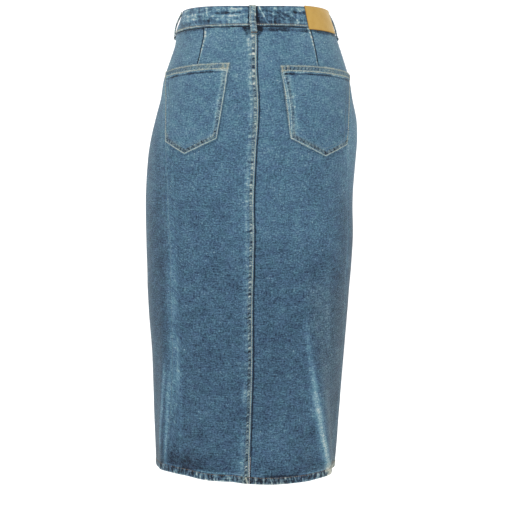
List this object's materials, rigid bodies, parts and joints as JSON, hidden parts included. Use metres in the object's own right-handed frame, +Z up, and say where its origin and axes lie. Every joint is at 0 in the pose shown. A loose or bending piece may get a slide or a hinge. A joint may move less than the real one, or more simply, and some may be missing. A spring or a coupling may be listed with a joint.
{
  "type": "denim skirt",
  "caption": "Denim midi skirt in its worn shape: panels, waistband with belt loops, back pockets, bare leather patch, button and zip fly.",
  "frame": {"origin": "middle of the waist opening, level with the waistband's top edge at the sides", "axes": "+Z up along the skirt; the back of the skirt faces -Y and its front +Y; +X is the wearer's right"},
  "size_m": [0.3715, 0.2377, 0.8055],
  "materials": {
    "denim": "washed mid-blue denim twill, matte",
    "band_denim": "washed denim, mottled and roped from washing over doubled cloth",
    "leather": "smooth tan leather, semi-matte",
    "brass": "antique brass",
    "zip_tape": "woven navy tape with brass teeth"
  },
  "bodies": {
    "root": {"back_panel_left": "denim", "back_panel_right": "denim", "front_panel_left": "denim", "front_panel_right": "denim", "back_pocket_left": "denim", "back_pocket_right": "denim", "waistband": "band_denim", "belt_loop_back": "band_denim", "belt_loop_left": "band_denim", "belt_loop_right": "band_denim", "belt_loop_front_left": "band_denim", "belt_loop_front_right": "band_denim", "leather_patch": "leather", "waist_button": "brass", "fly_zip": "zip_tape"}
  },
  "joints": []
}
